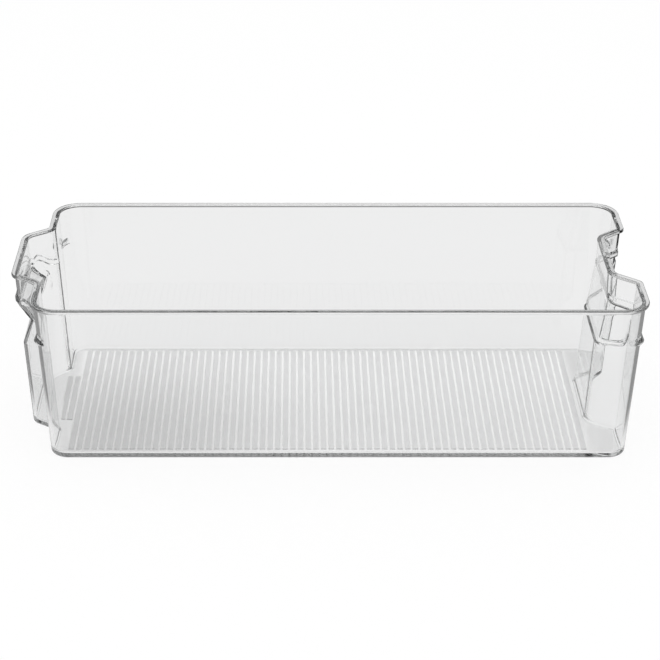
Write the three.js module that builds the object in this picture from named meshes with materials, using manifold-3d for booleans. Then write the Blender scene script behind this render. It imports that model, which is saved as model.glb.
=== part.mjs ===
// Open-top bin for a refrigerator shelf: one clear moulding with a ribbed floor.
// The left end bulges out into a grip with a finger groove under a lip.
// The right end is drawn in to a recess with a finger scoop under a lip.
// Frame: +X to the recess end, +Y to the rear wall, +Z up, base on Z = 0. The
// shapes are laid out about the centre of the box, and the nodes are then moved
// along X so that the origin is the centre of the whole footprint, grip included.
// The node names are the regions of the moulding; neighbours meet face to face.

import * as THREE from "three";
import Module from "manifold-3d";

const wasm = await Module();
wasm.setup();

// Overall sizes in millimetres.
const boxLength = 355;
const boxWidth = 160;
const boxHeight = 100;
const gripReach = 15;

// Wall, floor and rim.
const wall = 2;
const floorThickness = 2.6;
const rimOutward = 2;
const rimInward = 0.3;
const rimHeight = 2;
const rimRound = 0.6;
const endLean = 5.3;
const sideLean = 6.7;
const cornerRadius = 14.9;
const baseCornerRadius = 11;
const heelRadius = 2;
const innerHeelRadius = 2;

// Heights of the finger features at the two ends, built up from the groove's foot.
const grooveDrop = 46;
const waistRise = 18;
const undersideRise = 9;
const hollowStep = 2;
const ceilingStep = 1;
const lipGap = 0.5;
const lipBand = 2.6;
const lipStandOut = 1.5;
const grooveBottom = boxHeight - grooveDrop;
const grooveWaist = grooveBottom + waistRise;
const grooveTop = grooveWaist + undersideRise;
const hollowBottom = grooveBottom;
const hollowCeiling = grooveTop - ceilingStep;
const lipBottom = grooveTop + lipGap;
const lipTop = lipBottom + lipBand;

// Grip bulge at the left end, half widths measured from the centre line.
const gripBaseHalf = 39;
const gripBaseHalfLow = 38.5;
const gripTipHalf = 28.2;
const gripTipHalfLow = 28;
const gripDraw = 0.3;
const shoulderReach = 4.5;
const grooveDepth = 7.5;
const grooveSideDepth = 3;
const gripBaseRound = 3;
const gripTipRound = 7;

// Recess at the right end, drawn in from the end wall.
const recessDepth = 14.3;
const recessDepthLip = 13.1;
const recessDepthHollow = 15.5;
const recessDepthLow = 17.4;
const mouthHalf = 38.7;
const backHalf = 26.6;
const backHalfLow = 27.5;
const hollowSideDepth = 3.7;
const mouthRound = 3.5;
const backRound = 10;

// Stacking lugs on the end wall side of the four upright corners.
const lugRise = 3;
const lugClear = 0.5;
const lugStandOut = 2;
const lugBottom = grooveWaist + lugRise;
const lugTop = hollowCeiling - lugClear;

// Ribs on the floor: a field of full ones, and short ones in the mouth of the grip.
const ribPitch = 4.535;
const ribWidth = 3.3;
const ribHeight = 0.4;
const ribRoot = 0.6;
const ribStartInset = 19.33;
const ribEndInset = 31.5;
const ribSideInset = 16;
const shortRibCount = 2;
const shortRibInset = 12;
const ribStart = ribStartInset - boxLength / 2;
const ribEnd = boxLength / 2 - ribEndInset;
const ribCount = Math.floor((ribEnd - ribStart) / ribPitch) + 1;
const ribHalfLength = boxWidth / 2 - ribSideInset;
const shortRibHalfLength = gripBaseHalf - shortRibInset;

// Sampling of the rounded corners.
const cornerSegments = 10;
const smallSegments = 5;

// Planes that divide the moulding into its named regions.
const wallSplit = boxLength / 2 - rimOutward - cornerRadius - endLean;
const cornerSplit = 47;
const panelSplit = 24;
const splitClear = 0.6;
const floorEndSplit = ribPitch / 2 - ribStart;
const baseHalfLength = boxLength / 2 - rimOutward - endLean;
const floorRecessSplit = baseHalfLength - recessDepthLow - wall - innerHeelRadius - splitClear;
const reach = boxLength;

const clearPlastic = new THREE.MeshStandardMaterial({
  name: "clear_plastic",
  color: new THREE.Color(0.9, 0.91, 0.915),
  roughness: 0.05,
  metalness: 0,
  transparent: true,
  opacity: 0.32,
});

function mix(low, high, share) {
  return low + (high - low) * share;
}

// Straight-line reading of a profile given as [height, value] pairs.
function readProfile(pairs, z) {
  if (z <= pairs[0][0]) {
    return pairs[0][1];
  }
  for (let i = 1; i < pairs.length; i += 1) {
    const [z0, v0] = pairs[i - 1];
    const [z1, v1] = pairs[i];
    if (z <= z1) {
      return mix(v0, v1, (z - z0) / (z1 - z0));
    }
  }
  return pairs[pairs.length - 1][1];
}

const grooveShares = [[grooveBottom, 0], [grooveWaist, 1], [grooveTop, 0]];
const hollowShares = [
  [hollowBottom, 0],
  [hollowBottom + hollowStep, 1],
  [hollowCeiling, 1],
  [grooveTop, 0],
];
const recessDepths = [
  [0, recessDepthLow],
  [hollowBottom, recessDepthLow],
  [hollowBottom + hollowStep, recessDepthHollow],
  [grooveTop, recessDepthLip],
  [boxHeight, recessDepth],
];

// Corner of the outer wall face. The lip pair says how far it follows the lip
// at its first and at its last sample; the lug is on its first or its last half.
function wallCorner(x, y, radius, segments, lip, lug = null) {
  return { x, y, radius, segments, lip, lug };
}

// Corners of the outer wall face at height z, anticlockwise from the front left.
function wallCorners(z) {
  const share = z / boxHeight;
  const halfX = boxLength / 2 - rimOutward - endLean * (1 - share);
  const halfY = boxWidth / 2 - rimOutward - sideLean * (1 - share);
  const radius = mix(baseCornerRadius, cornerRadius, share);
  const widen = hollowSideDepth * readProfile(hollowShares, z);
  const backX = halfX - readProfile(recessDepths, z);
  const mouth = mouthHalf + widen;
  const back = mix(backHalfLow, backHalf, share) + widen;
  const groove = readProfile(grooveShares, z);
  const fullReach = gripReach - gripDraw * (1 - share);
  const base = mix(gripBaseHalfLow, gripBaseHalf, share);
  const slant = (base - mix(gripTipHalfLow, gripTipHalf, share)) / fullReach;
  const tipReach = fullReach - grooveDepth * groove;
  const tip = base - slant * tipReach - grooveSideDepth * groove;
  const shoulder = base - slant * shoulderReach;
  const tipX = -halfX - tipReach;
  const shoulderX = -halfX - shoulderReach;
  const main = (x, y, lug) => wallCorner(x, y, radius, cornerSegments, [0, 0], lug);
  const small = (x, y, round, lip) => wallCorner(x, y, round, smallSegments, lip);
  return [
    main(-halfX, -halfY, "first"),
    main(halfX, -halfY, "last"),
    small(halfX, -mouth, mouthRound, [0, 1]),
    small(backX, -back, backRound, [1, 1]),
    small(backX, back, backRound, [1, 1]),
    small(halfX, mouth, mouthRound, [1, 0]),
    main(halfX, halfY, "first"),
    main(-halfX, halfY, "last"),
    small(-halfX, base, gripBaseRound, [0, 1]),
    wallCorner(shoulderX, shoulder, 0, 0, [1, 1]),
    small(tipX, tip, gripTipRound, [1, 1]),
    small(tipX, -tip, gripTipRound, [1, 1]),
    wallCorner(shoulderX, -shoulder, 0, 0, [1, 1]),
    small(-halfX, -base, gripBaseRound, [1, 0]),
  ];
}

function edgeFrame(from, to) {
  const dx = to.x - from.x;
  const dy = to.y - from.y;
  const length = Math.hypot(dx, dy);
  return { dx: dx / length, dy: dy / length };
}

// Moves both edges at a corner outward and returns where they meet again.
function moveCorner(previous, corner, next, grow) {
  const a = edgeFrame(previous, corner);
  const b = edgeFrame(corner, next);
  const turn = a.dx * b.dy - a.dy * b.dx;
  const along = 1 + a.dx * b.dx + a.dy * b.dy;
  const nx = (a.dy + b.dy) / along;
  const ny = -(a.dx + b.dx) / along;
  return {
    x: corner.x + nx * grow,
    y: corner.y + ny * grow,
    a,
    b,
    turn,
    radius: corner.radius + (turn > 0 ? grow : -grow),
  };
}

// Samples of one rounded corner, with a lug standing out on one half of it.
function roundCorner(corner, segments, standOut, lug) {
  if (segments === 0) {
    return [[corner.x, corner.y]];
  }
  const { a, b, turn } = corner;
  const angle = Math.asin(Math.min(1, Math.abs(turn)));
  const sweep = a.dx * b.dx + a.dy * b.dy >= 0 ? angle : Math.PI - angle;
  const side = Math.sign(turn);
  const setBack = corner.radius * Math.tan(sweep / 2);
  const startX = corner.x - a.dx * setBack;
  const startY = corner.y - a.dy * setBack;
  const centreX = startX - a.dy * corner.radius * side;
  const centreY = startY + a.dx * corner.radius * side;
  const startAngle = Math.atan2(startY - centreY, startX - centreX);
  const points = [];
  for (let i = 0; i <= segments; i += 1) {
    const turned = startAngle + side * sweep * (i / segments);
    const step = lug === "last" ? segments - i : i;
    const inLug = lug !== null && step >= 1 && step <= segments / 2;
    const spoke = corner.radius + (inLug ? standOut : 0);
    points.push([centreX + spoke * Math.cos(turned), centreY + spoke * Math.sin(turned)]);
  }
  return points;
}

// Closed outline at height z, moved outward by grow. The lug and lip amounts
// stand out only at the upright corners and along the grip and the recess.
function outline(z, grow, lug = 0, lip = 0) {
  const corners = wallCorners(z);
  const count = corners.length;
  const points = [];
  corners.forEach((corner, i) => {
    const previous = corners[(i + count - 1) % count];
    const next = corners[(i + 1) % count];
    const sample = (amount) => {
      const moved = moveCorner(previous, corner, next, amount);
      return roundCorner(moved, corner.segments, lug, corner.lug);
    };
    const plain = sample(grow);
    const lipped = sample(grow + lip);
    plain.forEach(([x, y], j) => {
      const follow = mix(corner.lip[0], corner.lip[1], corner.segments ? j / corner.segments : 0);
      points.push([mix(x, lipped[j][0], follow), mix(y, lipped[j][1], follow)]);
    });
  });
  return points;
}

// Skin over a stack of outlines that all have the same number of samples.
function loft(layers) {
  const count = layers[0].points.length;
  const positions = [];
  const index = [];
  layers.forEach(({ z, points }) => {
    points.forEach(([x, y]) => positions.push(x, y, z));
  });
  for (let layer = 0; layer + 1 < layers.length; layer += 1) {
    for (let i = 0; i < count; i += 1) {
      const j = (i + 1) % count;
      const low = layer * count;
      const high = low + count;
      index.push(low + i, low + j, high + j, low + i, high + j, high + i);
    }
  }
  const top = (layers.length - 1) * count;
  const first = layers[0].points.map(([x, y]) => new THREE.Vector2(x, y));
  const last = layers[layers.length - 1].points.map(([x, y]) => new THREE.Vector2(x, y));
  THREE.ShapeUtils.triangulateShape(first, []).forEach(([a, b, c]) => index.push(c, b, a));
  THREE.ShapeUtils.triangulateShape(last, []).forEach(([a, b, c]) => {
    index.push(top + a, top + b, top + c);
  });
  return toSolid(positions, index);
}

function toSolid(positions, index) {
  const mesh = new wasm.Mesh({
    numProp: 3,
    vertProperties: new Float32Array(positions),
    triVerts: new Uint32Array(index),
  });
  return new wasm.Manifold(mesh);
}

// Solid box between two opposite corners, its faces exactly on the given planes.
function boxBetween(low, high) {
  const geometry = new THREE.BoxGeometry(1, 1, 1);
  const source = geometry.getAttribute("position");
  const positions = [];
  const seen = new Map();
  const index = Array.from(geometry.getIndex().array, (vertex) => {
    const signs = [source.getX(vertex), source.getY(vertex), source.getZ(vertex)];
    const key = signs.join(" ");
    if (!seen.has(key)) {
      seen.set(key, seen.size);
      positions.push(...signs.map((sign, axis) => (sign < 0 ? low[axis] : high[axis])));
    }
    return seen.get(key);
  });
  return toSolid(positions, index);
}

// Stack of outlines at the given heights, all moved by the same amount.
function layersAt(heights, grow) {
  return heights.map((z) => ({ z, points: outline(z, grow) }));
}

const rimBottom = boxHeight - rimHeight;

// Outer skin from the base heel to the rounded rim.
function outerSolid() {
  const heelPlain = heelRadius * Math.SQRT1_2;
  const heelMiddle = heelRadius - heelPlain;
  const rimSide = boxHeight - rimRound;
  return loft([
    { z: 0, points: outline(0, -heelRadius) },
    { z: heelMiddle, points: outline(heelMiddle, heelPlain - heelRadius) },
    ...layersAt([heelRadius, hollowBottom, hollowBottom + hollowStep, grooveWaist, lugBottom], 0),
    { z: lugBottom, points: outline(lugBottom, 0, lugStandOut) },
    ...layersAt([lugTop, hollowCeiling, grooveTop, lipBottom], 0),
    { z: lipBottom, points: outline(lipBottom, 0, 0, lipStandOut) },
    { z: lipTop, points: outline(lipTop, 0, 0, lipStandOut) },
    ...layersAt([lipTop + lipStandOut, rimBottom], 0),
    { z: rimBottom, points: outline(rimBottom, rimOutward) },
    { z: rimSide, points: outline(rimSide, rimOutward) },
    { z: boxHeight, points: outline(boxHeight, rimOutward - rimRound) },
  ]);
}

// Hollow from the top of the floor out through the open top.
function innerSolid() {
  const heelPlain = innerHeelRadius * Math.SQRT1_2;
  const heelMiddle = floorThickness + innerHeelRadius - heelPlain;
  const heelTop = floorThickness + innerHeelRadius;
  const rimSide = boxHeight - rimRound;
  const rimFace = -wall - rimInward;
  return loft([
    { z: floorThickness, points: outline(floorThickness, -wall - innerHeelRadius) },
    { z: heelMiddle, points: outline(heelMiddle, heelPlain - wall - innerHeelRadius) },
    ...layersAt([heelTop, hollowBottom, hollowBottom + hollowStep, grooveWaist], -wall),
    ...layersAt([hollowCeiling, grooveTop, rimBottom], -wall),
    ...layersAt([rimBottom, rimSide], rimFace),
    { z: boxHeight, points: outline(boxHeight, rimFace + rimRound) },
    { z: boxHeight + rimHeight, points: outline(boxHeight, rimFace + rimRound) },
  ]);
}

// Raised bands on the floor, with short ones in the mouth of the grip.
function ribSolids() {
  const low = floorThickness - ribRoot;
  const high = floorThickness + ribHeight;
  const solids = [];
  for (let i = -shortRibCount; i < ribCount; i += 1) {
    const centre = ribStart + ribPitch * i;
    const half = i < 0 ? shortRibHalfLength : ribHalfLength;
    solids.push(boxBetween([centre - ribWidth / 2, -half, low], [centre + ribWidth / 2, half, high]));
  }
  return solids;
}

const group = new THREE.Group();
group.name = "fridge_organizer";

function addNode(name, solid) {
  const { vertProperties, triVerts } = solid.getMesh();
  const geometry = new THREE.BufferGeometry();
  geometry.setAttribute("position", new THREE.BufferAttribute(vertProperties, 3));
  geometry.setIndex(new THREE.BufferAttribute(triVerts, 1));
  geometry.translate(gripReach / 2, 0, 0);
  geometry.computeVertexNormals();
  const node = new THREE.Mesh(geometry, clearPlastic);
  node.name = name;
  group.add(node);
}

const shell = outerSolid().subtract(innerSolid());

// Floor regions: the slice up to the rib tops, with its ribs set into it.
const floorTop = floorThickness + ribHeight;
function floorSlice(xLow, xHigh, yLow, yHigh) {
  return shell.intersect(boxBetween([xLow, yLow, -wall], [xHigh, yHigh, floorTop]));
}
function withRibs(slice, ribs) {
  return ribs.reduce((solid, rib) => solid.add(rib), slice);
}
const ribs = ribSolids();
const fieldSlice = floorSlice(-floorEndSplit, floorRecessSplit, -reach, reach);
const gripSlice = floorSlice(-reach, -floorEndSplit, -reach, reach);
addNode("floor_panel", withRibs(fieldSlice, ribs.slice(shortRibCount)));
addNode("floor_grip_end", withRibs(gripSlice, ribs.slice(0, shortRibCount)));
addNode("floor_recess_front", floorSlice(floorRecessSplit, reach, -reach, 0));
addNode("floor_recess_rear", floorSlice(floorRecessSplit, reach, 0, reach));

// Upright regions: long walls, corners, grip and recess.
function region(name, low, high) {
  addNode(name, shell.intersect(boxBetween(low, high)));
}
const topPlane = boxHeight + wall;
const sides = { front: -1, rear: 1 };
Object.entries(sides).forEach(([side, sign]) => {
  const span = (near, far) => [Math.min(sign * near, sign * far), Math.max(sign * near, sign * far)];
  const [outLow, outHigh] = span(cornerSplit, reach);
  const [inLow, inHigh] = span(panelSplit, cornerSplit);
  region(`${side}_wall`, [-wallSplit, outLow, floorTop], [wallSplit, outHigh, topPlane]);
  region(`${side}_left_corner`, [-reach, outLow, floorTop], [-wallSplit, outHigh, topPlane]);
  region(`${side}_right_corner`, [wallSplit, outLow, floorTop], [reach, outHigh, topPlane]);
  region(`grip_cheek_${side}`, [-reach, inLow, floorTop], [0, inHigh, topPlane]);
  region(`recess_cheek_${side}`, [0, inLow, floorTop], [reach, inHigh, topPlane]);
});

function panel(name, sign, low, high) {
  const x = sign < 0 ? [-reach, 0] : [0, reach];
  region(name, [x[0], -panelSplit, low], [x[1], panelSplit, high]);
}
panel("grip_lower_panel", -1, floorTop, grooveBottom);
panel("grip_groove_slope", -1, grooveBottom, grooveWaist);
panel("grip_lip_underside", -1, grooveWaist, grooveTop);
panel("grip_lip_panel", -1, grooveTop, topPlane);
panel("recess_lower_panel", 1, floorTop, hollowBottom);
panel("recess_hollow_panel", 1, hollowBottom, hollowCeiling);
panel("recess_lip_panel", 1, hollowCeiling, topPlane);

export default group;
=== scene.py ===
import math

import bmesh
import bpy
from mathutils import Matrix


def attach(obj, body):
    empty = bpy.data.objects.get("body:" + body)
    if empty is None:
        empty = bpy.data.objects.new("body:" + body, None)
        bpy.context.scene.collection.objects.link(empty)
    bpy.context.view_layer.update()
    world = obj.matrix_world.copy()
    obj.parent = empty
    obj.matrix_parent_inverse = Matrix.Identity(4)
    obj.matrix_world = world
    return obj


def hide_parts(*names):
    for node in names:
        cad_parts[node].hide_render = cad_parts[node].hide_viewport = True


# Clear open-top bin for a refrigerator shelf, one moulding: grip at the left end,
# recess at the right end, frosted ribs on the floor.

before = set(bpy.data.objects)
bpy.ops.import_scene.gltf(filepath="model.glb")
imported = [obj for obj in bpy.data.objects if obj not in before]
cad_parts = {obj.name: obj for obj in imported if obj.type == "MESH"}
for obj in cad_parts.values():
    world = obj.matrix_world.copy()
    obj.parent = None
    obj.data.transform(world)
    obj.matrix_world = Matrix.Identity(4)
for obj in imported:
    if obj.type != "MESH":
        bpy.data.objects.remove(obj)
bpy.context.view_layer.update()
mm = 0.001
print("frame loaded,", len(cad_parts), "nodes")


# camera, floor and light, sizes in metres

cameraLook = {
    "place": (-0.0163, -1.1057, 0.5993),
    "tiltDegrees": 63.553,
    "lens": 110.24,  # millimetres
    "sensorWidth": 36,
    "shiftX": 0.0489,
}

studio = {
    "floorSize": 16.0,
    "floorDrop": 0.0002,
    "floorColour": (0.98, 0.98, 0.98, 1),
    "softboxSize": 1.6,
    "softboxHeight": 1.5,
    "softboxPower": 6.0,
    "skyForLight": 0.85,
    "floorGlow": 0.85,  # the rest of the floor is matt and keeps the shadow
    "throughPlastic": 0.845,  # level of the white seen through the plastic
    "perReflection": 0.985,  # what is left of it after each reflection
    "bounces": 64,
    "nearHalf": (0.19, 0.42),  # half size of the bright floor round the bin
    "nearEdge": (0.97, 1.15),  # its soft edge, in shares of that half size
    "farLevel": 0.2,  # level of reflected floor outside it
    "underHalf": (0.1555, 0.066),  # half size of the ribbed field
    "underEdge": (0.97, 1.03),
    "underBin": 1.045,  # painted light: level of the floor under that field, at the front
    "underRear": 1.16,  # share of that level at the rear, painted lighter
    "underShade": 0.74,  # share of it in the painted shade at the front left
    # middle and reach of the painted shade patch on the floor's glow
    "shadePlace": (-0.14, -0.05, 0),
    "shadeReach": (0.01, 0.155),
    "skyHigh": 0.95,  # level of the reflected sky overhead
    "skyLow": 0.04,  # and at the horizon
    "skyHeights": (0.48, 0.85),  # from here to here the one turns into the other
    "skySide": 0.8,  # and low down to the left and right
    "skySides": (0.25, 0.5),  # how far sideways that level fades in
}


def newNodes(tree):
    tree.nodes.clear()
    return tree.nodes, tree.links


def feed(links, socket, given):
    # a socket takes a plain number or another node's output
    if isinstance(given, bpy.types.NodeSocket):
        links.new(given, socket)
    else:
        socket.default_value = given


def calculate(nodes, links, operation, *given):
    node = nodes.new("ShaderNodeMath")
    node.operation = operation
    for socket, value in zip(node.inputs, given):
        feed(links, socket, value)
    return node.outputs[0]


def blendValue(nodes, links, share, first, second):
    node = nodes.new("ShaderNodeMix")
    for i, value in {0: share, 2: first, 3: second}.items():
        feed(links, node.inputs[i], value)
    return node.outputs[0]


def smoothRange(nodes, links, value, span, levels):
    ramp = nodes.new("ShaderNodeMapRange")
    ramp.interpolation_type = "SMOOTHSTEP"
    feed(links, ramp.inputs["Value"], value)
    ends = {"From Min": span[0], "From Max": span[1], "To Min": levels[0], "To Max": levels[1]}
    for name, end in ends.items():
        feed(links, ramp.inputs[name], end)
    return ramp.outputs[0]


def splitPlace(nodes, links, kind):
    # coordinates of the kind asked for, whole and then as x, y and z
    place = nodes.new("ShaderNodeTexCoord").outputs[kind]
    split = nodes.new("ShaderNodeSeparateXYZ")
    links.new(place, split.inputs[0])
    return place, *split.outputs


def addCamera():
    camera = bpy.data.cameras.new("photoCamera")
    camera.lens = cameraLook["lens"]
    camera.sensor_width = cameraLook["sensorWidth"]
    camera.shift_x = cameraLook["shiftX"]
    holder = bpy.data.objects.new("photoCamera", camera)
    holder.location = cameraLook["place"]
    holder.rotation_euler = (math.radians(cameraLook["tiltDegrees"]), 0, 0)
    bpy.context.scene.collection.objects.link(holder)
    bpy.context.scene.camera = holder


def backgroundLevel(nodes, links, zone, clearLevel):
    # white for the camera, paler through the plastic, by zone and darker where reflected
    path = nodes.new("ShaderNodeLightPath").outputs
    fading = calculate(nodes, links, "POWER", studio["perReflection"], path["Glossy Depth"])
    once = calculate(nodes, links, "MINIMUM", path["Glossy Depth"], 1)
    byZone = blendValue(nodes, links, once, 1, zone)
    faded = calculate(nodes, links, "MULTIPLY", fading, byZone)
    through = calculate(nodes, links, "MULTIPLY", faded, clearLevel)
    level = calculate(nodes, links, "MAXIMUM", path["Is Camera Ray"], through)
    inside = calculate(nodes, links, "MAXIMUM", path["Is Glossy Ray"], path["Is Transmission Ray"])
    seen = calculate(nodes, links, "MAXIMUM", path["Is Camera Ray"], inside)
    return level, seen


def floorZone(nodes, links, halves, edge, levels):
    # one level inside a rectangle of the floor and another outside it
    place, *axes = splitPlace(nodes, links, "Object")
    shares = []
    for axis, half in zip(axes, halves):
        distance = calculate(nodes, links, "ABSOLUTE", axis)
        shares.append(calculate(nodes, links, "DIVIDE", distance, half))
    farther = calculate(nodes, links, "MAXIMUM", *shares)
    return smoothRange(nodes, links, farther, edge, levels)


def underShade(nodes, links):
    # level right under the bin: painted light makes it paler at the rear, painted shade darkens it
    # at the front left
    place, x, y, z = splitPlace(nodes, links, "Object")
    depth = studio["underHalf"][1]
    levels = (studio["underBin"], studio["underBin"] * studio["underRear"])
    # painted light: the floor's glow rises towards the rear
    rearward = smoothRange(nodes, links, y, (-depth, depth), levels)
    away = nodes.new("ShaderNodeVectorMath")
    away.operation = "DISTANCE"
    away.inputs[1].default_value = studio["shadePlace"]
    links.new(place, away.inputs[0])
    # painted shade: the floor's glow is lowered round shadePlace
    levels = (studio["underShade"], 1)
    shade = smoothRange(nodes, links, away.outputs["Value"], studio["shadeReach"], levels)
    return calculate(nodes, links, "MULTIPLY", rearward, shade)


def skyZone(nodes, links):
    place, x, y, z = splitPlace(nodes, links, "Generated")
    levels = (studio["skyLow"], studio["skyHigh"])
    upward = smoothRange(nodes, links, z, studio["skyHeights"], levels)
    sideways = calculate(nodes, links, "ABSOLUTE", x)
    sides = smoothRange(nodes, links, sideways, studio["skySides"], (0, studio["skySide"]))
    return calculate(nodes, links, "MAXIMUM", upward, sides)


def floorMaterial():
    material = bpy.data.materials.new("paleFloor")
    material.use_nodes = True
    nodes, links = newNodes(material.node_tree)
    diffuse = nodes.new("ShaderNodeBsdfDiffuse")
    diffuse.inputs["Color"].default_value = studio["floorColour"]
    glow = nodes.new("ShaderNodeEmission")
    glow.inputs["Color"].default_value = (1, 1, 1, 1)
    levels = (1, studio["farLevel"])
    zone = floorZone(nodes, links, studio["nearHalf"], studio["nearEdge"], levels)
    levels = (underShade(nodes, links), studio["throughPlastic"])
    clearLevel = floorZone(nodes, links, studio["underHalf"], studio["underEdge"], levels)
    level, seen = backgroundLevel(nodes, links, zone, clearLevel)
    links.new(level, glow.inputs["Strength"])
    mixer = nodes.new("ShaderNodeMixShader")
    links.new(calculate(nodes, links, "MULTIPLY", seen, studio["floorGlow"]), mixer.inputs[0])
    links.new(diffuse.outputs[0], mixer.inputs[1])
    links.new(glow.outputs[0], mixer.inputs[2])
    output = nodes.new("ShaderNodeOutputMaterial")
    links.new(mixer.outputs[0], output.inputs["Surface"])
    return material


def addFloor():
    bm = bmesh.new()
    bmesh.ops.create_grid(bm, x_segments=1, y_segments=1, size=studio["floorSize"] / 2)
    bmesh.ops.translate(bm, verts=bm.verts, vec=(0, 0, -studio["floorDrop"]))
    mesh = bpy.data.meshes.new("studioFloor")
    bm.to_mesh(mesh)
    bm.free()
    mesh.materials.append(floorMaterial())
    floor = bpy.data.objects.new("studioFloor", mesh)
    bpy.context.scene.collection.objects.link(floor)


def addWorld():
    world = bpy.data.worlds.new("studioSky")
    world.use_nodes = True
    bpy.context.scene.world = world
    nodes, links = newNodes(world.node_tree)
    zone = skyZone(nodes, links)
    level, seen = backgroundLevel(nodes, links, zone, studio["throughPlastic"])
    background = nodes.new("ShaderNodeBackground")
    background.inputs["Color"].default_value = (1, 1, 1, 1)
    strength = blendValue(nodes, links, seen, studio["skyForLight"], level)
    links.new(strength, background.inputs["Strength"])
    output = nodes.new("ShaderNodeOutputWorld")
    links.new(background.outputs[0], output.inputs["Surface"])


def addSoftbox():
    light = bpy.data.lights.new("softbox", "AREA")
    light.shape = "SQUARE"
    light.size = studio["softboxSize"]
    light.energy = studio["softboxPower"]
    box = bpy.data.objects.new("softbox", light)
    box.location = (0, 0, studio["softboxHeight"])
    bpy.context.scene.collection.objects.link(box)


addCamera()
addFloor()
addWorld()
addSoftbox()
bpy.context.scene.view_settings.view_transform = "Standard"
cycles = bpy.context.scene.cycles
cycles.max_bounces = studio["bounces"]
cycles.glossy_bounces = studio["bounces"]
cycles.transmission_bounces = studio["bounces"]
print("camera, floor and light made")


# shape of the bin in millimetres, laid out about the middle of the main box
# a pair of sizes is at the floor and at the rim, a profile is pairs of height and size

body = {
    "length": 355,
    "width": 160,
    "height": 100,
    "wall": 2,
    "floor": 2.6,
    "endLean": 5.3,
    "sideLean": 6.7,
    "cornerRounds": (11, 14.9),
    "heelRadius": 2,
    "cornerSegments": 28,
    "smallSegments": 14,
    "arcSteps": 6,
    "creaseSoftness": 0.15,
    "lowRings": (20, 38),  # heights of plain rings
    "innerRing": 90,
    "endFeaturesHalf": 50,  # grip and recess lie within this of the centre line
    "sharpDegrees": 38,
    "shadingWeight": 80,
}

rim = {
    "outward": 2,
    "inward": 0.3,
    "height": 2,
    "topRound": 0.7,
    "innerEdge": 0.15,  # rounds its inner lower edge off
    "innerStep": 0.1,
    # lower outer edge: rise and draw, and how much of each the front has on top
    "lowerEdge": ((0.003, 0.15, 0, 0.5), (0.01, 0.05, 0.17, 0.13), (0.06, 0, 0.57, 0)),
}

grip = {
    "reach": 15,
    "draw": 0.3,
    "baseHalf": (38.5, 39),
    "tipHalf": (28, 28.2),
    "shoulderReach": 4.5,
    "baseRound": 6,
    "frontTipRound": 7,
    "rearTipRounds": ((54, 10), (66, 21), (76, 19), (81, 12), (100, 10)),
    "grooveHeights": (54, 72, 81),
    "grooveRings": (62, 68),
    "grooveDepth": 7.5,
    "grooveSideDepth": 3,
    "cheekPoints": 10,
    "shoulderPoints": 2,
    # the lip's edge sinks along each cheek, share 0 is the end wall and 1 the tip
    "edgeDrop": (
        (0, 6.5),
        (0.3, 5),
        (0.5, 2),
        (0.68, 0.2),
        (0.8, 0.6),
        (0.88, 2.4),
        (0.94, 1),
        (1, 0),
    ),
    "dropHeights": ((56, 0), (74, 1), (86, 1), (96, 0)),
}

recess = {
    "mouthHalf": 38.7,
    "backHalf": (27.5, 26.6),
    "mouthRound": 3.5,
    "backRound": 10,
    "depths": ((0, 17.4), (54, 17.4), (56, 15.5), (81, 13.1), (100, 14.3)),
    "creases": (54, 56),
    "hollowHeights": (57.4, 57.5, 81.9, 82),  # start and end of each ledge
    "ledgeDepth": 1.6,
    "sideDepth": 3.7,
    "cheekPoints": 12,
    # the hollow's edge climbs along each cheek, share 0 is the mouth and 1 the back
    "edgeRise": (
        (0, 20),
        (0.09, 17),
        (0.17, 7),
        (0.25, 4.2),
        (0.4, 2.8),
        (0.6, 1.8),
        (0.85, 0.9),
        (1, 0),
    ),
    "riseHeights": ((20, 0), (55, 1), (58, 1), (80, 0)),
}

lip = {
    "bottom": 82.02,
    "height": 2.6,
    "standOut": 1.5,
    "rings": (80, 81),  # heights of plain rings below it
    "ledgeRise": 0.02,
    "ledgeShare": 0.8,  # of the full stand-out
    "edge": 0.2,
    "topShare": 0.9,
}

lug = {
    "bottom": 75,
    "top": 79.5,
    "standOut": 2,
    "reach": (0.05, 0.52),  # shares of the corner's turn, from the end wall on
    "fade": 0.03,
    # rise over the bottom and share of the full stand-out
    "profile": ((0, 0), (0.05, 0.85), (0.3, 0.97), (0.6, 0.93)),
    "topEdge": 0.4,  # below the top, and what is left of the stand-out there
    "topShare": 0.1,
}


def mix(low, high, share):
    return low + (high - low) * share


def clamp(value):
    return min(1, max(0, value))


def readProfile(pairs, z):
    if z <= pairs[0][0]:
        return pairs[0][1]
    for (z0, v0), (z1, v1) in zip(pairs, pairs[1:]):
        if z <= z1:
            return mix(v0, v1, (z - z0) / (z1 - z0))
    return pairs[-1][1]


def creaseLevels(heights):
    # rings that round a crease of the wall off
    soft = body["creaseSoftness"]
    return [z + soft * step for z in heights for step in (-1, -0.5, 0, 0.5, 1)]


def softProfile(pairs, z):
    values = [readProfile(pairs, near) for near in creaseLevels((z,))]
    return sum(values) / len(values)


def makeCorner(x, y, radius, segments, points=0, lips=(0, 0), lugEnd=None, mark=None):
    # points are added to the straight run after it, lips are shares of the lip's stand-out
    place = {"x": x, "y": y, "radius": radius, "segments": segments, "points": points}
    return place | {"lips": lips, "lugEnd": lugEnd, "mark": mark}


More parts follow.
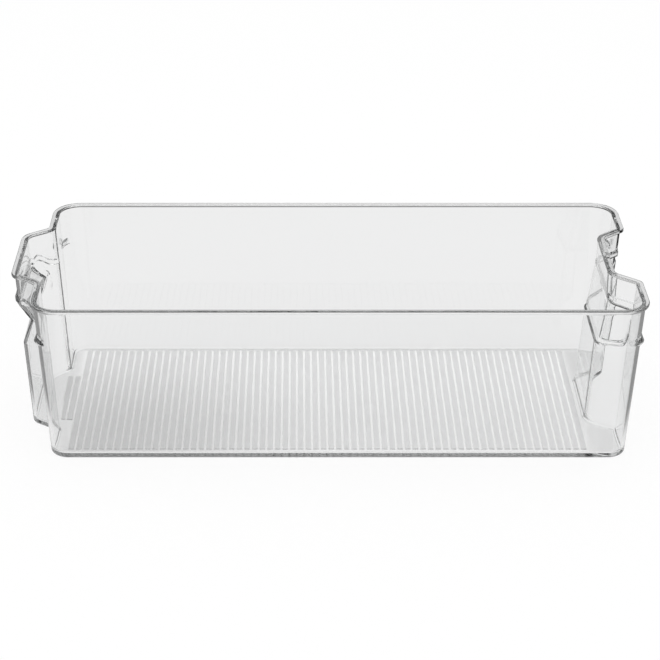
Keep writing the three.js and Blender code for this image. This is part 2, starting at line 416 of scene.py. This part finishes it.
def recessCorners(z, halfX, inside):
    low, high, ceiling, top = recess["hollowHeights"]
    spread = recess["ledgeDepth"] if inside else 0
    hollow = [(low - spread, 0), (high - spread, 1), (ceiling + spread, 1), (top + spread, 0)]
    widen = recess["sideDepth"] * readProfile(hollow, z)
    backX = halfX - softProfile(recess["depths"], z)
    mouth = recess["mouthHalf"] + widen
    back = mix(*recess["backHalf"], z / body["height"]) + widen
    outer, inner, small = recess["mouthRound"], recess["backRound"], body["smallSegments"]
    points = recess["cheekPoints"]
    return [
        makeCorner(halfX, -mouth, outer, small, points, lips=(0, 1), mark="mouth"),
        makeCorner(backX, -back, inner, small, lips=(1, 1), mark="back"),
        makeCorner(backX, back, inner, small, points, lips=(1, 1)),
        makeCorner(halfX, mouth, outer, small, lips=(1, 0)),
    ]


def gripCorners(z, halfX):
    share = z / body["height"]
    start, waist, end = grip["grooveHeights"]
    groove = softProfile([(start, 0), (waist, 1), (end, 0)], z)
    fullReach = grip["reach"] - grip["draw"] * (1 - share)
    base = mix(*grip["baseHalf"], share)
    slant = (base - mix(*grip["tipHalf"], share)) / fullReach
    tipReach = fullReach - grip["grooveDepth"] * groove
    tip = base - slant * tipReach - grip["grooveSideDepth"] * groove
    shoulder = base - slant * grip["shoulderReach"]
    tipX = -halfX - tipReach
    shoulderX = -halfX - grip["shoulderReach"]
    rearRound, frontRound = readProfile(grip["rearTipRounds"], z), grip["frontTipRound"]
    outer, small = grip["baseRound"], body["smallSegments"]
    few, many = grip["shoulderPoints"], grip["cheekPoints"]
    return [
        makeCorner(-halfX, base, outer, small, few, lips=(0, 1), mark="base"),
        makeCorner(shoulderX, shoulder, 0, 0, many, lips=(1, 1)),
        makeCorner(tipX, tip, rearRound, small, lips=(1, 1), mark="tip"),
        makeCorner(tipX, -tip, frontRound, small, many, lips=(1, 1)),
        makeCorner(shoulderX, -shoulder, 0, 0, few, lips=(1, 1)),
        makeCorner(-halfX, -base, outer, small, lips=(1, 0)),
    ]


def wallCorners(z, inside):
    # corners of the outer wall face at height z, all the way round
    share = z / body["height"]
    halfX = body["length"] / 2 - rim["outward"] - body["endLean"] * (1 - share)
    halfY = body["width"] / 2 - rim["outward"] - body["sideLean"] * (1 - share)
    radius, main = mix(*body["cornerRounds"], share), body["cornerSegments"]
    front = [
        makeCorner(-halfX, -halfY, radius, main, lugEnd=0),
        makeCorner(halfX, -halfY, radius, main, lugEnd=1),
    ]
    rear = [
        makeCorner(halfX, halfY, radius, main, lugEnd=0),
        makeCorner(-halfX, halfY, radius, main, lugEnd=1),
    ]
    return front + recessCorners(z, halfX, inside) + rear + gripCorners(z, halfX)


def heading(start, end):
    # direction from one corner to another
    dx, dy = end["x"] - start["x"], end["y"] - start["y"]
    size = math.hypot(dx, dy)
    return dx / size, dy / size


def lugShare(corner, share):
    # how much of the lug stands out at this share of the corner's turn
    if corner["lugEnd"] is None:
        return 0
    fromEnd = abs(corner["lugEnd"] - share)
    first, last = lug["reach"]
    return clamp(min(fromEnd - first, last - fromEnd) / lug["fade"])


def roundedCorner(before, corner, after, grow, standOut):
    # points of one rounded corner, with the wall face moved outwards by grow
    (ax, ay), (bx, by) = heading(before, corner), heading(corner, after)
    turn = ax * by - ay * bx
    along = 1 + ax * bx + ay * by
    x = corner["x"] + (ay + by) / along * grow
    y = corner["y"] - (ax + bx) / along * grow
    if corner["segments"] == 0:
        return [(x, y)]
    side = math.copysign(1, turn)
    radius = corner["radius"] + side * grow
    sweep = math.acos(max(-1, min(1, ax * bx + ay * by)))
    setBack = radius * math.tan(sweep / 2)
    startX, startY = x - ax * setBack, y - ay * setBack
    centreX, centreY = startX - ay * radius * side, startY + ax * radius * side
    startAngle = math.atan2(startY - centreY, startX - centreX)
    points = []
    for i in range(corner["segments"] + 1):
        share = i / corner["segments"]
        spoke = radius + standOut * lugShare(corner, share)
        angle = startAngle + side * sweep * share
        points.append((centreX + spoke * math.cos(angle), centreY + spoke * math.sin(angle)))
    return points


def edgeShift(x, y, z, marks):
    # the hollow's edge climbs towards the mouth, the lip's edge sinks towards the end wall
    if abs(y) > body["endFeaturesHalf"]:
        return 0
    if x > 0:
        mouth, back = marks["mouth"], marks["back"]
        share = (mouth["x"] - x) / (mouth["x"] - back["x"])
        return readProfile(recess["edgeRise"], share) * readProfile(recess["riseHeights"], z)
    base, tip = marks["base"], marks["tip"]
    share = (base["x"] - x) / (base["x"] - tip["x"])
    return -readProfile(grip["edgeDrop"], share) * readProfile(grip["dropHeights"], z)


def bentPlace(x, y, z, marks):
    # the place follows the lean of the end wall as it shifts
    shift = edgeShift(x, y, z, marks)
    lean = body["endLean"] * shift / body["height"]
    return x + lean if x > 0 else x - lean, y, z + shift


def outline(z, grow, lugOut=0, lipOut=0):
    # one closed ring of points, the same number at every height
    corners = wallCorners(z, grow < 0)
    rings = []
    for i, corner in enumerate(corners):
        before, after = corners[i - 1], corners[(i + 1) % len(corners)]
        plain = roundedCorner(before, corner, after, grow, lugOut)
        lipped = roundedCorner(before, corner, after, grow + lipOut, lugOut)
        rings.append([])
        for j, ((x0, y0), (x1, y1)) in enumerate(zip(plain, lipped)):
            follow = mix(*corner["lips"], j / max(1, corner["segments"]))
            rings[-1].append((mix(x0, x1, follow), mix(y0, y1, follow)))
    points = []
    for i, (corner, ring) in enumerate(zip(corners, rings)):
        (x0, y0), (x1, y1) = ring[-1], rings[(i + 1) % len(rings)][0]
        steps = [(j + 1) / (corner["points"] + 1) for j in range(corner["points"])]
        points += ring + [(mix(x0, x1, step), mix(y0, y1, step)) for step in steps]
    marks = {corner["mark"]: corner for corner in corners}
    return [bentPlace(x, y, z, marks) for x, y in points]


# levels of the skin, from the base up the outside and down the inside


def ringAt(z, grow=0, lugOut=0, lipOut=0, frontRise=0, frontDraw=0):
    extra = {"lugOut": lugOut, "lipOut": lipOut, "frontRise": frontRise, "frontDraw": frontDraw}
    return {"z": z, "grow": grow} | extra


def arc(radius):
    # quarter circle: one value climbs to the radius while the other falls from it
    steps = body["arcSteps"]
    turns = [math.pi / 2 * i / steps for i in range(steps + 1)]
    return [(radius * (1 - math.cos(turn)), radius * (1 - math.sin(turn))) for turn in turns]


def outerLevels():
    ledges = recess["hollowHeights"]
    start, waist, end = grip["grooveHeights"]
    levels = [ringAt(z, -back) for z, back in arc(body["heelRadius"])]
    plain = [*body["lowRings"], *creaseLevels(recess["creases"])]
    plain += [*ledges[:2], *grip["grooveRings"], *creaseLevels((waist,))]
    levels += [ringAt(z) for z in plain]
    out = lug["standOut"]
    levels += [ringAt(lug["bottom"] + rise, lugOut=out * share) for rise, share in lug["profile"]]
    levels += [ringAt(lug["top"] - lug["topEdge"], lugOut=out * lug["topShare"])]
    levels += [ringAt(z) for z in (lug["top"], *lip["rings"], *ledges[2:])]
    bottom, top, out = lip["bottom"], lip["bottom"] + lip["height"], lip["standOut"]
    levels += [ringAt(bottom), ringAt(bottom + lip["ledgeRise"], lipOut=out * lip["ledgeShare"])]
    levels += [ringAt(z, lipOut=out) for z in (bottom + lip["edge"], top - lip["edge"])]
    return levels + [ringAt(top + lip["edge"], lipOut=out * lip["topShare"]), ringAt(top + out)]


def rimLevels():
    height, out, inward = body["height"], rim["outward"], -body["wall"] - rim["inward"]
    under, inner = height - rim["height"], rim["innerEdge"]
    levels = [ringAt(under)]
    for rise, draw, frontRise, frontDraw in rim["lowerEdge"]:
        extra = {"frontRise": frontRise, "frontDraw": frontDraw}
        levels.append(ringAt(under + rise, out - draw, **extra))
    top = arc(rim["topRound"])
    levels += [ringAt(height - drop, out - back) for back, drop in top]
    levels += [ringAt(height - drop, inward + back) for back, drop in reversed(top)]
    levels += [ringAt(under + inner, inward), ringAt(under, inward + inner)]
    return levels + [ringAt(under - rim["innerStep"], -body["wall"])]


def innerLevels():
    wall, floor = body["wall"], body["floor"]
    start, waist, end = grip["grooveHeights"]
    spread = recess["ledgeDepth"]
    low, high, ceiling, top = recess["hollowHeights"]
    heights = {body["innerRing"], *lip["rings"], *body["lowRings"], *grip["grooveRings"]}
    heights |= {low - spread, high - spread, ceiling + spread, top + spread}
    heights |= {*creaseLevels((waist, *recess["creases"]))}
    heights = sorted({round(z, 3) for z in heights}, reverse=True)
    heel = [ringAt(floor + rise, -wall - back) for rise, back in arc(body["heelRadius"])]
    return [ringAt(z, -wall) for z in heights] + heel[::-1]


def placedRing(row):
    # the ring in metres, about the middle of the whole length
    points = outline(row["z"], row["grow"], row["lugOut"], row["lipOut"])
    if row["frontRise"] or row["frontDraw"]:
        softer = outline(row["z"] + row["frontRise"], row["grow"] - row["frontDraw"])
        half = body["endFeaturesHalf"]
        fronts = [clamp((half - y) / (2 * half)) for x, y, z in points]
        pairs = zip(points, softer, fronts)
        points = [[mix(a, b, front) for a, b in zip(p, q)] for p, q, front in pairs]
    shift = grip["reach"] / 2
    return [((x + shift) * mm, y * mm, z * mm) for x, y, z in points]


def extrudeRing(bm, ring, places):
    # the next ring of vertices, moved to the places given
    edges = [bm.edges.get((a, b)) for a, b in zip(ring, ring[1:] + ring[:1])]
    made = bmesh.ops.extrude_edge_only(bm, edges=edges)["geom"]
    fresh = {item for item in made if isinstance(item, bmesh.types.BMVert)}
    following = []
    for vert, place in zip(ring, places):
        other = next(e.other_vert(vert) for e in vert.link_edges if e.other_vert(vert) in fresh)
        other.co = place
        following.append(other)
    return following


# ribs on the floor, in millimetres

ribs = {
    "count": 68,
    "pitch": 4.535,
    "width": 3.3,
    "height": 0.4,
    "halfLength": 64,
    "fieldShift": -6.225,  # middle of the field from the middle of the main box
    "shortCount": 2,  # at the mouth of the grip
    "shortHalfLength": 28,
}


def ribSpans():
    # left and right side and half length of each rib, in metres
    first = ribs["fieldShift"] - ribs["pitch"] * (ribs["count"] - 1) / 2
    spans = []
    for i in range(-ribs["shortCount"], ribs["count"]):
        middle = first + ribs["pitch"] * i + grip["reach"] / 2
        half = ribs["shortHalfLength"] if i < 0 else ribs["halfLength"]
        sides = (middle - ribs["width"] / 2, middle + ribs["width"] / 2, half)
        spans.append([side * mm for side in sides])
    return spans


def raiseRibs(bm, floorFace):
    area = [floorFace]
    spans = ribSpans()

    def cut(place, normal):
        edges = {edge for face in area for edge in face.edges}
        verts = {vert for face in area for vert in face.verts}
        geom = [*area, *edges, *verts]
        made = bmesh.ops.bisect_plane(bm, geom=geom, plane_co=place, plane_no=normal)["geom"]
        area[:] = [item for item in made if isinstance(item, bmesh.types.BMFace)]

    for half in (ribs["halfLength"] * mm, ribs["shortHalfLength"] * mm):
        cut((0, -half, 0), (0, 1, 0))
        cut((0, half, 0), (0, 1, 0))
    for low, high, half in spans:
        cut((low, 0, 0), (1, 0, 0))
        cut((high, 0, 0), (1, 0, 0))
    middles = [(face, face.calc_center_median()) for face in area]
    tops = []
    for low, high, half in spans:
        tops += [face for face, at in middles if low < at.x < high and abs(at.y) < half]
    made = bmesh.ops.extrude_face_region(bm, geom=tops)["geom"]
    bmesh.ops.delete(bm, geom=[face for face in tops if face.is_valid], context="FACES")
    verts = [item for item in made if isinstance(item, bmesh.types.BMVert)]
    bmesh.ops.translate(bm, verts=verts, vec=(0, 0, ribs["height"] * mm))
    for item in made:
        if isinstance(item, bmesh.types.BMFace) and item.is_valid:
            item.material_index = 1
    print("ribs raised:", len(spans))


def buildShell():
    levels = outerLevels() + rimLevels() + innerLevels()
    bm = bmesh.new()
    ring = [bm.verts.new(place) for place in placedRing(levels[0])]
    bm.faces.new(list(reversed(ring)))
    for row in levels[1:]:
        ring = extrudeRing(bm, ring, placedRing(row))
    print("walls drawn:", len(levels), "rings of", len(ring), "points")
    raiseRibs(bm, bm.faces.new(ring))
    bmesh.ops.recalc_face_normals(bm, faces=bm.faces)
    openEdges = [edge for edge in bm.edges if len(edge.link_faces) != 2]
    print("shell:", len(bm.faces), "faces,", len(openEdges), "open edges")
    mesh = bpy.data.meshes.new("binShell")
    bm.to_mesh(mesh)
    bm.free()
    mesh.shade_smooth()
    mesh.set_sharp_from_angle(angle=math.radians(body["sharpDegrees"]))
    shell = bpy.data.objects.new("binShell", mesh)
    bpy.context.scene.collection.objects.link(shell)
    weighted = shell.modifiers.new("evenShading", "WEIGHTED_NORMAL")
    weighted.keep_sharp = True
    weighted.weight = body["shadingWeight"]
    return shell


# plastic

plastic = {
    "ior": 1.57,
    "shadow": (0.93, 0.93, 0.93, 1),
    "reflection": (0.4, 0.4, 0.4, 1),
    "depthColour": (0.2, 0.22, 0.22, 1),
    "depthDensity": 5.0,  # per metre, darkens long ways inside the plastic
    "grainDetail": 4,
    "grainSpan": (0.35, 0.7),
}

clearFinish = {
    "colour": (0.99, 0.992, 0.992, 1),
    "grainScale": 60,
    "roughness": (0.0, 0.02),
    "bump": 0.15,
    "bumpHeight": 0.0002,
}

ribFinish = {
    "colour": (0.93, 0.935, 0.935, 1),
    "grainScale": 900,
    "roughness": (0.3, 0.45),
    "bump": 0.4,
    "bumpHeight": 0.0001,
}


def surfaceGroup():
    # fine grain of a moulded surface, as roughness and height
    group = bpy.data.node_groups.new("mouldedSurface", "ShaderNodeTree")
    for name in ("Scale", "Low", "High"):
        group.interface.new_socket(name, in_out="INPUT", socket_type="NodeSocketFloat")
    for name in ("Roughness", "Height"):
        group.interface.new_socket(name, in_out="OUTPUT", socket_type="NodeSocketFloat")
    nodes, links = group.nodes, group.links
    inside = nodes.new("NodeGroupInput")
    place = nodes.new("ShaderNodeTexCoord")
    grain = nodes.new("ShaderNodeTexNoise")
    grain.inputs["Detail"].default_value = plastic["grainDetail"]
    links.new(place.outputs["Object"], grain.inputs["Vector"])
    links.new(inside.outputs["Scale"], grain.inputs["Scale"])
    spread = nodes.new("ShaderNodeMapRange")
    spread.inputs["From Min"].default_value = plastic["grainSpan"][0]
    spread.inputs["From Max"].default_value = plastic["grainSpan"][1]
    links.new(grain.outputs["Fac"], spread.inputs["Value"])
    links.new(inside.outputs["Low"], spread.inputs["To Min"])
    links.new(inside.outputs["High"], spread.inputs["To Max"])
    outside = nodes.new("NodeGroupOutput")
    links.new(spread.outputs[0], outside.inputs["Roughness"])
    links.new(grain.outputs["Fac"], outside.inputs["Height"])
    return group


def plasticMaterial(name, group, finish):
    material = bpy.data.materials.new(name)
    material.use_nodes = True
    nodes, links = newNodes(material.node_tree)
    surface = nodes.new("ShaderNodeGroup")
    surface.node_tree = group
    surface.inputs["Scale"].default_value = finish["grainScale"]
    surface.inputs["Low"].default_value = finish["roughness"][0]
    surface.inputs["High"].default_value = finish["roughness"][1]
    relief = nodes.new("ShaderNodeBump")
    relief.inputs["Strength"].default_value = finish["bump"]
    relief.inputs["Distance"].default_value = finish["bumpHeight"]
    links.new(surface.outputs["Height"], relief.inputs["Height"])
    principled = nodes.new("ShaderNodeBsdfPrincipled")
    principled.inputs["Base Color"].default_value = finish["colour"]
    principled.inputs["IOR"].default_value = plastic["ior"]
    principled.inputs["Transmission Weight"].default_value = 1
    principled.inputs["Specular Tint"].default_value = plastic["reflection"]
    links.new(surface.outputs["Roughness"], principled.inputs["Roughness"])
    links.new(relief.outputs[0], principled.inputs["Normal"])
    path = nodes.new("ShaderNodeLightPath")
    through = nodes.new("ShaderNodeBsdfTransparent")
    through.inputs["Color"].default_value = plastic["shadow"]
    mixer = nodes.new("ShaderNodeMixShader")
    links.new(path.outputs["Is Shadow Ray"], mixer.inputs[0])
    links.new(principled.outputs[0], mixer.inputs[1])
    links.new(through.outputs[0], mixer.inputs[2])
    output = nodes.new("ShaderNodeOutputMaterial")
    links.new(mixer.outputs[0], output.inputs["Surface"])
    depth = nodes.new("ShaderNodeVolumeAbsorption")
    depth.inputs["Color"].default_value = plastic["depthColour"]
    depth.inputs["Density"].default_value = plastic["depthDensity"]
    links.new(depth.outputs[0], output.inputs["Volume"])
    return material


shell = buildShell()
group = surfaceGroup()
shell.data.materials.append(plasticMaterial("clearPlastic", group, clearFinish))
shell.data.materials.append(plasticMaterial("frostedRib", group, ribFinish))
print("plastic made")
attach(shell, "root")
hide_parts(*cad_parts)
